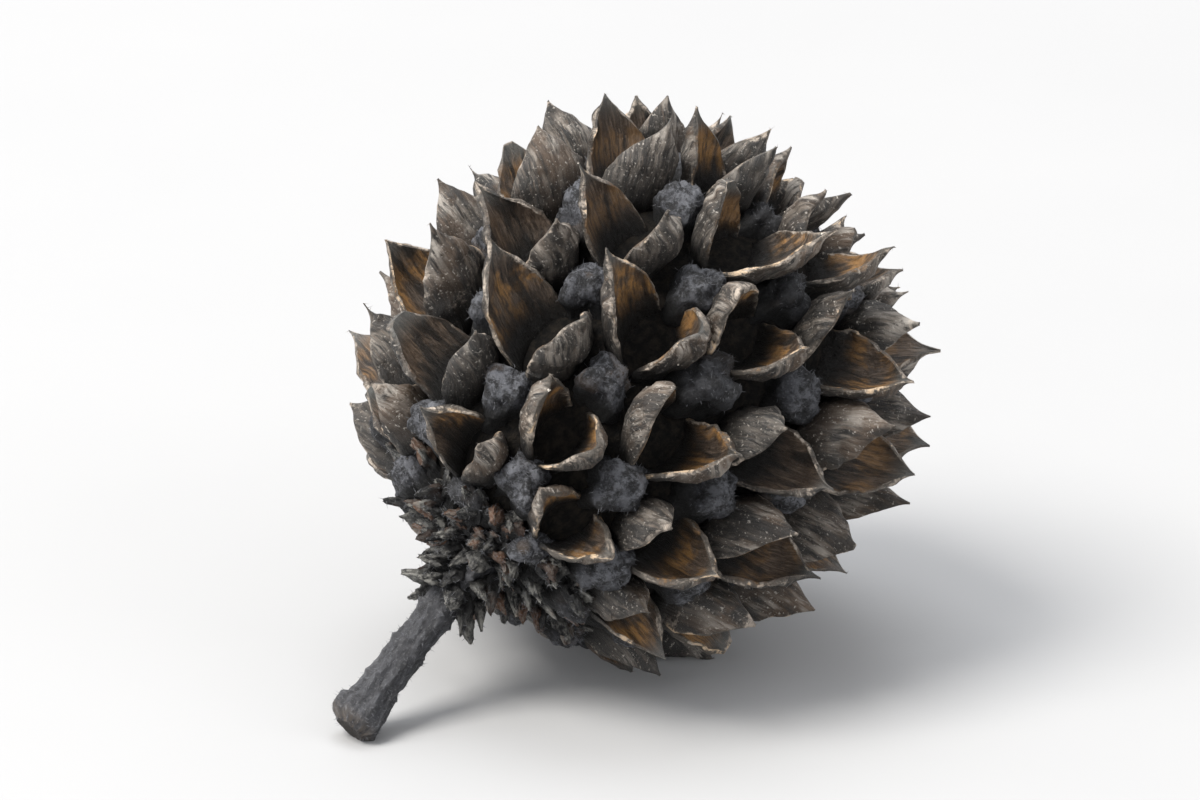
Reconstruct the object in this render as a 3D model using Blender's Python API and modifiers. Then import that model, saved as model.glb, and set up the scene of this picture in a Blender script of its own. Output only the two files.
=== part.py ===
"""A dry casuarina cone with open valves, lying on its stalk's end and on two valve tips.

Metres, +Z up. The cone grows in its own frame, with its axis on Z, its apex up and its stalk down.
It is then laid on the surface z = 0, with the stalk towards -X.
"""

import math
import random

import bmesh
import bpy
from mathutils import Matrix, Vector

MM = 0.001
SEED = 8
WELD_DISTANCE = 1e-6

# Woody middle that everything grows from: an outline between an ellipse and a barrel
CORE_RADIUS = 8.2 * MM
CORE_HALF_LENGTH = 10.3 * MM
CORE_SQUARENESS = 2.6
CORE_SIDES = 16
CORE_RINGS = 10

# Fruits stand in whorls, each turned by half a place from the next, and are smaller at both ends
FRUITS_PER_WHORL = 8
WHORL_STEP = 2.95 * MM
FIRST_WHORL_RADIUS = 2.9 * MM
LAST_WHORL_RADIUS = 4.7 * MM
APEX_TAPER = 0.62
STALK_TAPER = 1.1
CROWDING = 0.8

# One of the two valves of a full-sized fruit
VALVE_THICKNESS = 0.62 * MM
VALVE_LENGTH = 4.5 * MM
VALVE_WIDTH = 3.5 * MM
VALVE_HOLLOW = 0.95 * MM
VALVE_ROOT_SINK = 1.1 * MM
VALVE_ROOT_GAP = 0.1 * MM
VALVE_GAPE = math.radians(21)
VALVE_FLARE = 0.3
VALVE_ROOT_FULLNESS = 0.22
VALVE_NARROWING = 0.75
LARGE_VALVE = 0.78
LARGE_STATIONS = (0.0, 0.45, 0.78, 1.0)
SMALL_STATIONS = (0.0, 0.55, 1.0)

# How far the valves lean towards the apex, as a share of the surface's own slope plus an angle
APEX_SIDE_FOLLOW = 0.85
STALK_SIDE_FOLLOW = 0.6
VALVE_LEAN = math.radians(15)

# How much one fruit differs from the next
GAPE_SPREAD = math.radians(9)
LEAN_SPREAD = 0.12
TWIST_SPREAD = 0.16
PLACE_SPREAD = 0.03
TIP_SPREAD = 0.5 * MM
VALVE_SIZES = (0.9, 1.08)
BRACT_SIZES = (0.88, 1.08)

# Blunt bract on the stalk side of each fruit
BRACT_RADIUS = 1.25 * MM
BRACT_TOP_RADIUS = 0.9 * MM
BRACT_HEIGHT = 1.3 * MM
BRACT_POINT = 0.7 * MM
BRACT_OFFSET = 2.9 * MM
BRACT_LEAN = math.radians(12)
BRACT_SIDES = 5

# Small barren bracts in rings round the stalk
BARREN_RINGS = 4
BARREN_FIRST_RADIUS = 0.95 * MM
BARREN_RING_STEP = 0.72 * MM
BARREN_SPACING = 1.35 * MM
BARREN_FIRST_SLOPE = math.radians(-58)
BARREN_SLOPE_STEP = math.radians(9)
BARREN_LENGTH = 1.7 * MM
BARREN_WIDTH = 1.1 * MM
BARREN_SINK = 0.85 * MM
BARREN_SIZES = (0.8, 1.15)
BARREN_SPREAD = 0.2

# More of them in rings down the flared root of the stalk
NECK_RINGS = 3
NECK_START = 0.5 * MM
NECK_STEP = 0.85 * MM
NECK_BRACTS = 7
NECK_SLOPE = math.radians(-42)

# Star of small fused bracts that closes the apex
STAR_POINTS = 8
STAR_RADIUS = 1.15 * MM
STAR_SLOPE = math.radians(52)
STAR_SIZES = (0.85, 1.1)
STAR_MIDDLE_SIZE = 0.7

# Stalk, from inside the core down to the swollen end where it broke from its twig
STALK_LENGTH = 10 * MM
STALK_ROOT_SINK = 1.5 * MM
STALK_RADIUS = 0.9 * MM
STALK_FLARE = 1.3
FLARE_REACH = 0.4
STALK_SLIMMING = 0.06
STALK_BEND = 0.9 * MM
STALK_SIDE_BEND = 0.27 * MM
KNOB_RADIUS = 1.1 * MM
KNOB_PLACE = 0.93
KNOB_REACH = 0.17
SHOULDER_PLACE = 0.95
SHOULDER_RADIUS = 0.75 * KNOB_RADIUS
SHOULDER_OFFSET = Vector((-0.4, 0.3, 0)) * KNOB_RADIUS
SHOULDER_STRETCH = 1.3
STALK_POINTS = 9

# Small flats worn where the cone touches the surface
FLAT_DEPTH = 0.25 * MM
CUTTER_SIDE = 80 * MM

# Look of the wood, and the angle from which its edges are shaded sharp
WOOD_COLOUR = (0.035, 0.032, 0.03, 1)
WOOD_ROUGHNESS = 0.75
SHARP_FROM = math.radians(35)


def clear_scene():
    for item in list(bpy.data.objects):
        bpy.data.objects.remove(item)


def new_collection(name):
    collection = bpy.data.collections.new(name)
    bpy.context.scene.collection.children.link(collection)
    return collection


def new_object(name, mesh, collection):
    item = bpy.data.objects.new(name, mesh)
    collection.objects.link(item)
    return item


def mesh_from(bm, name):
    mesh = bpy.data.meshes.new(name)
    bm.to_mesh(mesh)
    bm.free()
    return mesh


def evaluated_mesh(item):
    """The object's mesh with its modifiers applied, and the loose ends of a curve welded on."""
    graph = bpy.context.evaluated_depsgraph_get()
    mesh = bpy.data.meshes.new_from_object(item.evaluated_get(graph))
    bm = bmesh.new()
    bm.from_mesh(mesh)
    bmesh.ops.remove_doubles(bm, verts=bm.verts, dist=WELD_DISTANCE)
    bmesh.ops.recalc_face_normals(bm, faces=bm.faces)
    bm.to_mesh(mesh)
    bm.free()
    return mesh


def core_point(angle):
    """(radius, height) of the core's outline at an angle from the apex."""
    across = abs(math.sin(angle)) / CORE_RADIUS
    along = abs(math.cos(angle)) / CORE_HALF_LENGTH
    reach = (across**CORE_SQUARENESS + along**CORE_SQUARENESS) ** (-1 / CORE_SQUARENESS)
    return reach * math.sin(angle), reach * math.cos(angle)


def core_slope(angle):
    """How far the outline's outward direction rises towards the apex, in radians."""
    radius, height = core_point(angle)
    power = CORE_SQUARENESS - 1
    out = (radius / CORE_RADIUS) ** power / CORE_RADIUS
    up = math.copysign((abs(height) / CORE_HALF_LENGTH) ** power, height) / CORE_HALF_LENGTH
    return math.atan2(up, out)


def moved_along(angle, distance):
    """The outline angle that lies this far along the outline towards the stalk."""
    steps = 12
    nudge = 0.01
    for _ in range(steps):
        stretch = Vector(core_point(angle + nudge)) - Vector(core_point(angle))
        angle += nudge * distance / steps / stretch.length
    return angle


def angle_at_radius(radius, from_apex):
    """The outline angle where the core is this thick, near the apex or near the stalk."""
    angle = 0.0
    step = 0.005
    while core_point(angle)[0] < radius:
        angle += step
    return angle if from_apex else math.pi - angle


def surface_frame(place, turn, slope):
    """Axes at a (radius, height): X across, Y towards the apex, Z outwards at the given slope."""
    radius, height = place
    out = Vector((math.cos(turn), math.sin(turn), 0))
    across = Vector((-math.sin(turn), math.cos(turn), 0))
    outward = out * math.cos(slope) + Vector((0, 0, math.sin(slope)))
    upward = outward.cross(across)
    frame = Matrix((across, upward, outward)).transposed().to_4x4()
    frame.translation = out * radius + Vector((0, 0, height))
    return frame


def valve_slope(angle):
    """Valves follow the surface on the apex half and stand squarer to the axis near the stalk."""
    slope = core_slope(angle)
    return slope * (APEX_SIDE_FOLLOW if slope > 0 else STALK_SIDE_FOLLOW) + VALVE_LEAN


def fruit_places():
    """(angle, turn, size) of each fruit, whorl by whorl from the apex to the stalk."""
    angle = angle_at_radius(FIRST_WHORL_RADIUS, from_apex=True)
    places = []
    whorl = 0
    while angle < math.pi / 2 or core_point(angle)[0] > LAST_WHORL_RADIUS:
        taper = APEX_TAPER if angle < math.pi / 2 else STALK_TAPER
        size = (core_point(angle)[0] / CORE_RADIUS) ** taper
        for number in range(FRUITS_PER_WHORL):
            turn = 2 * math.pi * (number + 0.5 * (whorl % 2)) / FRUITS_PER_WHORL
            places.append((angle, turn, size))
        angle = moved_along(angle, WHORL_STEP * size**CROWDING)
        whorl += 1
    return places


def add_core(collection):
    """Turned body, with its outline running from the apex down to the stalk."""
    bm = bmesh.new()
    rows = [core_point(math.pi * step / CORE_RINGS) for step in range(CORE_RINGS + 1)]
    rows[0] = (0.0, rows[0][1])
    rows[-1] = (0.0, rows[-1][1])
    points = [bm.verts.new((radius, 0, height)) for radius, height in rows]
    for pair in zip(points, points[1:]):
        bm.edges.new(pair)
    core = new_object("cone", mesh_from(bm, "cone"), collection)
    turned = core.modifiers.new("Turned", "SCREW")
    turned.steps = CORE_SIDES
    turned.render_steps = CORE_SIDES
    turned.use_merge_vertices = True
    turned.merge_threshold = WELD_DISTANCE
    return core


def valve_point(share, side, size, gape):
    """Place of a point of the valve that lies on the +X side of the slit.

    share runs from 0 at the root to 1 at the tip, and side from -1 to 1 across the valve.
    """
    height = (VALVE_LENGTH * size + VALVE_ROOT_SINK) * share - VALVE_ROOT_SINK
    along = VALVE_ROOT_FULLNESS + (1 - VALVE_ROOT_FULLNESS) * share
    fullness = math.sin(math.pi * along) ** VALVE_NARROWING if share < 1 else 0.0
    half_width = VALVE_WIDTH / 2 * size * fullness
    hollow = VALVE_HOLLOW * size * fullness * (1 - side * side)
    opening = math.tan(gape) * max(height, 0) + VALVE_FLARE * gape * height * share
    return Vector((VALVE_ROOT_GAP + hollow + opening, side * half_width, height))


def valve_mesh(size, gape, tip_turn):
    """Open sheet of a boat-shaped valve with a pointed tip."""
    bm = bmesh.new()
    rows = []
    stations = LARGE_STATIONS if size > LARGE_VALVE else SMALL_STATIONS
    for share in stations[:-1]:
        rows.append([bm.verts.new(valve_point(share, side, size, gape)) for side in (-1, 0, 1)])
    tip = bm.verts.new(valve_point(1.0, 0, size, gape) + Vector((0, tip_turn, 0)))
    for low, high in zip(rows, rows[1:]):
        for left in range(2):
            bm.faces.new((low[left], low[left + 1], high[left + 1], high[left]))
    bm.faces.new((rows[-1][0], rows[-1][1], tip))
    bm.faces.new((rows[-1][1], rows[-1][2], tip))
    bmesh.ops.triangulate(bm, faces=bm.faces, quad_method="FIXED")
    return mesh_from(bm, "valve")


def thickened(sheet):
    """The open sheet given its thickness on the outer side."""
    shell = sheet.modifiers.new("Thickness", "SOLIDIFY")
    shell.thickness = VALVE_THICKNESS
    shell.offset = 1
    shell.use_even_offset = True
    return evaluated_mesh(sheet)


def add_valves(collection, draw):
    """Both valves of every fruit, one on each side of its slit."""
    for number, (angle, turn, size) in enumerate(fruit_places()):
        slope = valve_slope(angle) + draw.uniform(-LEAN_SPREAD, LEAN_SPREAD)
        turn += draw.uniform(-PLACE_SPREAD, PLACE_SPREAD)
        frame = surface_frame(core_point(angle), turn, slope)
        twist = Matrix.Rotation(draw.uniform(-TWIST_SPREAD, TWIST_SPREAD), 4, "Z")
        for half in (0, 1):
            grown = size * draw.uniform(*VALVE_SIZES)
            gape = VALVE_GAPE + draw.uniform(-GAPE_SPREAD, GAPE_SPREAD)
            tip_turn = draw.uniform(-TIP_SPREAD, TIP_SPREAD) * size
            sheet = new_object("sheet", valve_mesh(grown, gape, tip_turn), collection)
            solid = thickened(sheet)
            bpy.data.objects.remove(sheet)
            solid.transform(frame @ twist @ Matrix.Rotation(math.pi * half, 4, "Z"))
            new_object(f"valve_{number}_{half}", solid, collection)


def bract_mesh(size):
    """Knob with a low point on top, sunk into the core by half its height."""
    bm = bmesh.new()
    bmesh.ops.create_cone(
        bm,
        cap_ends=True,
        segments=BRACT_SIDES,
        radius1=BRACT_RADIUS * size,
        radius2=BRACT_TOP_RADIUS * size,
        depth=2 * BRACT_HEIGHT * size,
    )
    top = max(bm.faces, key=lambda face: face.calc_center_median().z)
    point = bmesh.ops.poke(bm, faces=[top])["verts"][0]
    point.co.z += BRACT_POINT * size
    return mesh_from(bm, "bract")


def add_bracts(collection, draw):
    """A blunt knob on the stalk side of every fruit."""
    for number, (angle, turn, size) in enumerate(fruit_places()):
        place = moved_along(angle, BRACT_OFFSET * size)
        slope = valve_slope(place) + BRACT_LEAN
        mesh = bract_mesh(size * draw.uniform(*BRACT_SIZES))
        turn += draw.uniform(-PLACE_SPREAD, PLACE_SPREAD)
        mesh.transform(surface_frame(core_point(place), turn, slope))
        new_object(f"bract_{number}", mesh, collection)


def pointed_bract(size, frame):
    """Four-sided spike with its root sunk below the frame's origin."""
    length = BARREN_LENGTH * size
    bm = bmesh.new()
    bmesh.ops.create_cone(
        bm,
        cap_ends=True,
        segments=4,
        radius1=BARREN_WIDTH / 2,
        radius2=0,
        depth=length + BARREN_SINK,
        matrix=Matrix.Translation((0, 0, (length - BARREN_SINK) / 2)),
    )
    bm.transform(frame)
    return mesh_from(bm, "pointed_bract")


def add_bract_ring(collection, draw, name, place, count, slope, offset):
    """Evenly spread pointed bracts round the axis at a (radius, height), each a little astray."""
    for number in range(count):
        turn = number + offset + draw.uniform(-BARREN_SPREAD, BARREN_SPREAD)
        leaning = slope + draw.uniform(-BARREN_SPREAD, BARREN_SPREAD)
        frame = surface_frame(place, 2 * math.pi * turn / count, leaning)
        mesh = pointed_bract(draw.uniform(*BARREN_SIZES), frame)
        new_object(f"{name}_{number}", mesh, collection)


def add_barren_bracts(collection, draw):
    """Crowded rings from the stalk out to the first fruits, and then down the root of the stalk."""
    for ring in range(BARREN_RINGS):
        radius = BARREN_FIRST_RADIUS + BARREN_RING_STEP * ring
        place = core_point(angle_at_radius(radius, from_apex=False))
        count = round(2 * math.pi * radius / BARREN_SPACING)
        slope = BARREN_FIRST_SLOPE + BARREN_SLOPE_STEP * ring
        add_bract_ring(collection, draw, f"barren_{ring}", place, count, slope, 0.5 * (ring % 2))
    for ring in range(NECK_RINGS):
        share = (STALK_ROOT_SINK + NECK_START + NECK_STEP * ring) / (STALK_ROOT_SINK + STALK_LENGTH)
        place = (stalk_radius(share), stalk_middle(share).z)
        offset = 0.5 * (ring % 2)
        add_bract_ring(collection, draw, f"neck_{ring}", place, NECK_BRACTS, NECK_SLOPE, offset)


def add_apex_star(collection, draw):
    """Small bracts that radiate from a middle point at the apex."""
    place = core_point(angle_at_radius(STAR_RADIUS, from_apex=True))
    for number in range(STAR_POINTS):
        turn = 2 * math.pi * (number + draw.uniform(-BARREN_SPREAD, BARREN_SPREAD)) / STAR_POINTS
        frame = surface_frame(place, turn, STAR_SLOPE)
        mesh = pointed_bract(draw.uniform(*STAR_SIZES), frame)
        new_object(f"star_{number}", mesh, collection)
    middle = pointed_bract(STAR_MIDDLE_SIZE, surface_frame(core_point(0.0), 0.0, math.pi / 2))
    new_object("star_middle", middle, collection)


def stalk_radius(share):
    """Half thickness along the stalk: flared at the cone, slimmer midway, swollen at its end."""
    flare = STALK_FLARE * max(0.0, 1 - share / FLARE_REACH) ** 2
    slimming = STALK_SLIMMING * math.sin(math.pi * share)
    swelling = (KNOB_RADIUS - STALK_RADIUS) * max(0.0, 1 - abs(share - KNOB_PLACE) / KNOB_REACH)
    return STALK_RADIUS * (1 + flare - slimming) + swelling


def stalk_middle(share):
    """Middle line of the stalk, from inside the core down, with a slight bend to one side."""
    root = CORE_HALF_LENGTH - STALK_ROOT_SINK
    length = STALK_LENGTH + STALK_ROOT_SINK
    bend = share * share
    return Vector((STALK_BEND * bend, STALK_SIDE_BEND * bend, -root - length * share))


def add_stalk(collection):
    """Round stalk with a swollen end, and a small shoulder at the side of that end."""
    curve = bpy.data.curves.new("stalk_curve", "CURVE")
    curve.dimensions = "3D"
    curve.bevel_depth = 1.0
    curve.bevel_resolution = 2
    curve.use_fill_caps = True
    spline = curve.splines.new("POLY")
    spline.points.add(STALK_POINTS - 1)
    for number, point in enumerate(spline.points):
        share = number / (STALK_POINTS - 1)
        point.co = (*stalk_middle(share), 1)
        point.radius = stalk_radius(share)
    tube = new_object("stalk_curve", curve, collection)
    new_object("stalk", evaluated_mesh(tube), collection)
    bpy.data.objects.remove(tube)
    bm = bmesh.new()
    bmesh.ops.create_icosphere(bm, subdivisions=1, radius=SHOULDER_RADIUS)
    beside = Matrix.Translation(stalk_middle(SHOULDER_PLACE) + SHOULDER_OFFSET)
    bm.transform(beside @ Matrix.Diagonal((1, 1, SHOULDER_STRETCH, 1)))
    new_object("stalk_shoulder", mesh_from(bm, "stalk_shoulder"), collection)


def fuse(core, pieces):
    """One closed body of the core and everything that grows from it."""
    join = core.modifiers.new("Fuse", "BOOLEAN")
    join.operation = "UNION"
    join.operand_type = "COLLECTION"
    join.collection = pieces
    join.solver = "MANIFOLD"
    fused = evaluated_mesh(core)
    core.modifiers.clear()
    core.data = fused
    for item in list(pieces.objects):
        bpy.data.objects.remove(item)
    bpy.data.collections.remove(pieces)


def weight_of(mesh):
    """Middle of the solid's volume."""
    bm = bmesh.new()
    bm.from_mesh(mesh)
    bmesh.ops.triangulate(bm, faces=bm.faces)
    total = 0.0
    moment = Vector()
    for face in bm.faces:
        first, second, third = (vert.co for vert in face.verts)
        volume = first.dot(second.cross(third)) / 6
        total += volume
        moment += volume * (first + second + third) / 4
    bm.free()
    return moment / total


def hold(corners, normal, weight):
    """How far inside a face the weight falls, negative if it falls outside."""
    middle = sum(corners, Vector()) / len(corners)
    spare = math.inf
    for start, end in zip(corners, corners[1:] + corners[:1]):
        inward = normal.cross(end - start).normalized()
        inward *= math.copysign(1, inward.dot(middle - start))
        spare = min(spare, inward.dot(weight - start))
    return spare


def steadiest_down(mesh):
    """Outward direction of the hull face, from the stalk's end to two valves, that holds best."""
    weight = weight_of(mesh)
    bm = bmesh.new()
    bm.from_mesh(mesh)
    bmesh.ops.convex_hull(bm, input=bm.verts)
    stalk_end = -CORE_HALF_LENGTH - STALK_LENGTH + 3 * KNOB_RADIUS
    down = None
    best = -math.inf
    for face in bm.faces:
        corners = [vert.co.copy() for vert in face.verts]
        at_end = sum(corner.z < stalk_end for corner in corners)
        if at_end in (0, len(corners)):
            continue
        normal = face.normal.copy()
        normal *= math.copysign(1, normal.dot(corners[0] - weight))
        spare = hold(corners, normal, weight)
        if spare > best:
            down = normal
            best = spare
    bm.free()
    return down


def lie_down(mesh):
    """Turns the steadiest face down and the stalk towards -X, and centres the cone on the origin.

    The lowest points end up below z = 0 by the depth of the flats.
    """
    lowered = steadiest_down(mesh).rotation_difference(Vector((0, 0, -1)))
    apex = lowered @ Vector((0, 0, 1))
    headed = Matrix.Rotation(-math.atan2(apex.y, apex.x), 4, "Z")
    mesh.transform(headed @ lowered.to_matrix().to_4x4())
    low = [min(vert.co[axis] for vert in mesh.vertices) for axis in range(3)]
    high = [max(vert.co[axis] for vert in mesh.vertices) for axis in range(3)]
    middle = Vector(((low[0] + high[0]) / 2, (low[1] + high[1]) / 2, low[2] + FLAT_DEPTH))
    mesh.transform(Matrix.Translation(-middle))


def flatten_contacts(cone, cutters):
    """Cuts a small flat at z = 0 on each of the points that the cone rests on."""
    bm = bmesh.new()
    bmesh.ops.create_cube(bm, size=CUTTER_SIDE, matrix=Matrix.Translation((0, 0, -CUTTER_SIDE / 2)))
    ground = new_object("ground_cutter", mesh_from(bm, "ground_cutter"), cutters)
    ground.hide_render = True
    ground.display_type = "WIRE"
    cut = cone.modifiers.new("Flats", "BOOLEAN")
    cut.operation = "DIFFERENCE"
    cut.object = ground


def wood_material():
    """Dry wood, dyed almost black."""
    material = bpy.data.materials.new("dark_wood")
    material.use_nodes = True
    shader = material.node_tree.nodes["Principled BSDF"]
    shader.inputs["Base Color"].default_value = WOOD_COLOUR
    shader.inputs["Roughness"].default_value = WOOD_ROUGHNESS
    shader.inputs["Metallic"].default_value = 0.0
    return material


def main():
    clear_scene()
    draw = random.Random(SEED)
    parts = new_collection("Casuarina_Cone")
    cutters = new_collection("Cutters")
    pieces = new_collection("Pieces")
    cone = add_core(parts)
    add_valves(pieces, draw)
    add_bracts(pieces, draw)
    add_barren_bracts(pieces, draw)
    add_apex_star(pieces, draw)
    add_stalk(pieces)
    fuse(cone, pieces)
    lie_down(cone.data)
    flatten_contacts(cone, cutters)
    cone.data.materials.clear()
    cone.data.materials.append(wood_material())
    cone.data.shade_smooth()
    cone.data.set_sharp_from_angle(angle=SHARP_FROM)


main()
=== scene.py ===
"""Close look of a dry casuarina cone dyed black, with its stalk: valves, bracts and wood in detail.

Metres, +Z up. The cone grows in its own frame, with its axis on Z and its apex up, by the same rule
and the same seeded draws as the solid, and is then laid where the solid lies.
"""

import math
import random
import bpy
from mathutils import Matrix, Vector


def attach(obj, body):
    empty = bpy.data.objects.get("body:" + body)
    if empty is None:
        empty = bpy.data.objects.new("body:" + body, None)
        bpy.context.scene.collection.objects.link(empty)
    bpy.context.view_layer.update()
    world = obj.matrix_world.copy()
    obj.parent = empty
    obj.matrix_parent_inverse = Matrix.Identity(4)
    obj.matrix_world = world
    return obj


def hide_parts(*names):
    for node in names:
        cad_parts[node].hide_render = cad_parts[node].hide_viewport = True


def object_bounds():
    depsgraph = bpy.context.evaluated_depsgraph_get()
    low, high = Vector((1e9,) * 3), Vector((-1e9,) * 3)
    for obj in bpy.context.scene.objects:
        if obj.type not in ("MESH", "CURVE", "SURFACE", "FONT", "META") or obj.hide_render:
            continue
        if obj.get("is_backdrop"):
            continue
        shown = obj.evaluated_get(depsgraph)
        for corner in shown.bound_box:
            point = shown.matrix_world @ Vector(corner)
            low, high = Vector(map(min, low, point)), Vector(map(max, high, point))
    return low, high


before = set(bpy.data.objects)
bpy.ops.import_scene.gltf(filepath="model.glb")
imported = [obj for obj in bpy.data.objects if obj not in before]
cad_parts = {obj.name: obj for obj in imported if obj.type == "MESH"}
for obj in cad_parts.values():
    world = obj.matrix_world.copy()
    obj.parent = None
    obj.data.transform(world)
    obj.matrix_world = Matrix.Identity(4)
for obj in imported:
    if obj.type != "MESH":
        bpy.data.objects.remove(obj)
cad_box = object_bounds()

from types import SimpleNamespace

import bpy
from mathutils import Matrix, Vector, noise

MM = 0.001

# Seeds of the draws that the solid shares, and of those for detail alone
SEED = 8
DETAIL_SEED = 21

# How the cone lies: rolled about its own axis, tilted, and moved onto the surface
CONE_ROLL = math.radians(-71.09922)
CONE_TILT = math.radians(55.69678)
CONE_PLACE = Vector((1.41457, -0.28893, 12.40632)) * MM
LAID = (
    Matrix.Translation(CONE_PLACE)
    @ Matrix.Rotation(CONE_TILT, 4, "Y")
    @ Matrix.Rotation(CONE_ROLL, 4, "Z")
)
UPRIGHT = LAID.inverted()

# Woody middle
CORE_RADIUS = 8.2 * MM
CORE_HALF_LENGTH = 10.3 * MM
CORE_SQUARENESS = 2.6
CORE_SIDES = 96
CORE_RINGS = 80
CORE_ROUGHNESS = 0.12 * MM
CORE_FINENESS = 1.4

# Whorls of fruits, smaller at both ends
FRUITS_PER_WHORL = 8
WHORL_STEP = 2.95 * MM
FIRST_WHORL_RADIUS = 2.9 * MM
LAST_WHORL_RADIUS = 4.7 * MM
APEX_TAPER = 0.62
STALK_TAPER = 1.1
CROWDING = 0.8

# One valve of a full-sized fruit. Here and below, a pair named RISE says where along its piece
# something sets in, and where it is full.
VALVE_LENGTH = 4.5 * MM
VALVE_WIDTH = 3.5 * MM
VALVE_HOLLOW = 0.95 * MM
VALVE_ROOT_SINK = 1.1 * MM
VALVE_ROOT_GAP = 0.1 * MM
VALVE_GAPE = math.radians(21)
VALVE_FLARE = 0.3
VALVE_THICKNESS = 0.6 * MM
RIM_THICKNESS = 0.22 * MM
KEEL = 0.1 * MM
VALVE_ROWS = 28
VALVE_COLUMNS = 15
ROW_CROWDING = 1.6
VALVE_ROOT_FULLNESS = 0.22
VALVE_NARROWING = 0.78
SHARPENING_RISE = (0.5, 1.0)
KEEL_SPREAD = 0.25
KEEL_RISE = (0.2, 0.5)
TIP_START = 0.6
TIP_THINNING = 0.7
THINNING_RISE = (0.8, 1.0)
RIM_ROUNDING = 0.18
LAST_FACING = 0.9

# Powers of the flesh's thinning towards the sides and the tip: the higher, the nearer them it thins
FLESH_ACROSS = 2.5
FLESH_ALONG = 4

# Reach of the worn rim's colour, and how much less a distance from the tip counts for it
RIM_GLOW = 0.1 * MM
TIP_NEARNESS = 0.6

# Wear of the valves: curled tips, folded lips, ragged rims and some broken tips
TIP_CURL = (-0.5 * MM, 0.6 * MM)
LIP_FOLD = (-0.3 * MM, 0.4 * MM)
RAGGEDNESS = (0.04, 0.16)
RIM_WAVE = 0.2 * MM
LIP_NARROWNESS = 4
LIP_RISE = (0.2, 0.6)
TIP_SHARPNESS = (0.3, 1.25)
TIP_REACH = (0.0 * MM, 0.5 * MM)
BROKEN_SHARE = 0.14
BROKEN_AT = (0.84, 0.94)

# Noise on the valves: how many waves in a millimetre across and along, and how high
WAVE_FINENESS = (1.0, 0.9)
RAGGED_FINENESS = (0.8, 2.2)
RIM_FINENESS = (1.0, 1.6)
RIM_UNEVENNESS = 0.7
FIBRE_FINENESS = (2.2, 0.35)
THREAD_FINENESS = (6.0, 1.1)
THREAD_SHARE = 0.6
FIBRE_RELIEF = 0.38

# How far apart in the noise two pieces lie, times each one's own number, so that no two are alike
VALVE_NOISE_APART = 97
VALVE_GRAIN_APART = 83
INNER_GRAIN_APART = 0.6
BRACT_GRAIN_APART = 71
BRACT_NOISE_APART = (47, 13, 0)
BARREN_NOISE_APART = 43
CRUMB_GRAIN_APART = 31

# Lean of the valves towards the apex
APEX_SIDE_FOLLOW = 0.85
STALK_SIDE_FOLLOW = 0.6
VALVE_LEAN = math.radians(15)

# How much one fruit differs from the next
GAPE_SPREAD = math.radians(9)
LEAN_SPREAD = 0.12
TWIST_SPREAD = 0.16
PLACE_SPREAD = 0.03
TIP_SPREAD = 0.5 * MM
VALVE_SIZES = (0.9, 1.08)
VALVE_STRAY = math.radians(6)
BRACT_SIZES = (0.88, 1.08)

# Blunt bract on the stalk side of each fruit
BRACT_RADIUS = 1.25 * MM
BRACT_HEIGHT = 1.3 * MM
BRACT_POINT = 0.7 * MM
BRACT_OFFSET = 2.9 * MM
BRACT_LEAN = math.radians(12)
BRACT_SIDES = 36
BRACT_ROWS = 18
BRACT_BELLY = 0.35
BRACT_SIDE_ROWS = 0.25
BRACT_TOP_RADIUS = 0.04
BRACT_BLUNTNESS = 0.6
SPIKE_LENGTH = 0.6 * MM
SPIKE_RADIUS = 0.15 * MM
SPIKE_SIDES = 8
SPIKE_PLACE = (0.2, 0.85)
SPIKE_LEAN = (0.5, 0.7, 0.9)
SPIKE_STRAYING = 40
SPIKE_ROOT_WEAR = 0.3
SPIKE_ROOT_HEIGHT = 0.8

# Blunt corners of a bract: how many round it, how its own number turns them, and how far they stand
# out. Lumps: how many in a millimetre, and how far they stand out. Both as a share of its radius.
BRACT_CORNERS = ((4, 3, 0.13), (3, 9, 0.12))
BRACT_LUMPS = ((0.8, 0.42), (1.9, 0.2), (4.1, 0.12))
CORNER_WEAR = 3.5
CORNER_WEAR_RISE = (0.2, 0.6)

# Small pointed barren bracts round the stalk
BARREN_RINGS = 4
BARREN_FIRST_RADIUS = 0.95 * MM
BARREN_RING_STEP = 0.72 * MM
BARREN_SPACING = 1.35 * MM
BARREN_FIRST_SLOPE = math.radians(-58)
BARREN_SLOPE_STEP = math.radians(9)
BARREN_LENGTH = 1.7 * MM
BARREN_WIDTH = 1.1 * MM
BARREN_SINK = 0.85 * MM
BARREN_SIZES = (0.8, 1.15)
BARREN_SPREAD = 0.2
BARREN_SIDES = 18
BARREN_ROWS = 14
BARREN_BEND = 1.1 * MM
BARREN_UNBENT = 0.4
BARREN_BLUNTNESS = (1.2, 3.5)
BARREN_TAPER = 0.8
BARREN_THICKNESS = 0.8
BARREN_THINNING = 0.45
BARREN_KEEL = 0.25
BARREN_STUNTING = 0.6
BARREN_TIP_PLACE = 0.95
BARREN_WEAR_RISE = (0.5, 1.0)

# Ragged surface of a pointed bract: waves round it and along it, their layers, and its stray tips
BARREN_FINENESS = (1.3, 2.4)
BARREN_LAYERS = ((1, 0.75), (2.3, 0.5))
BARREN_TATTERS = 0.25 * MM
TATTER_FINENESS = 1.7

# Stunted bracts that fill the gaps
FILLING_BRACTS = 110
FILLING_REACH = 4.9 * MM
FILLING_SIZES = (0.4, 0.8)
FILLING_GROWTH = 0.75
FILLING_SPREAD = 0.45
FILLING_INNERMOST = 0.04

# Rings down the root of the stalk
NECK_RINGS = 3
NECK_START = 0.5 * MM
NECK_STEP = 0.85 * MM
NECK_BRACTS = 7
NECK_SLOPE = math.radians(-42)

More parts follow.
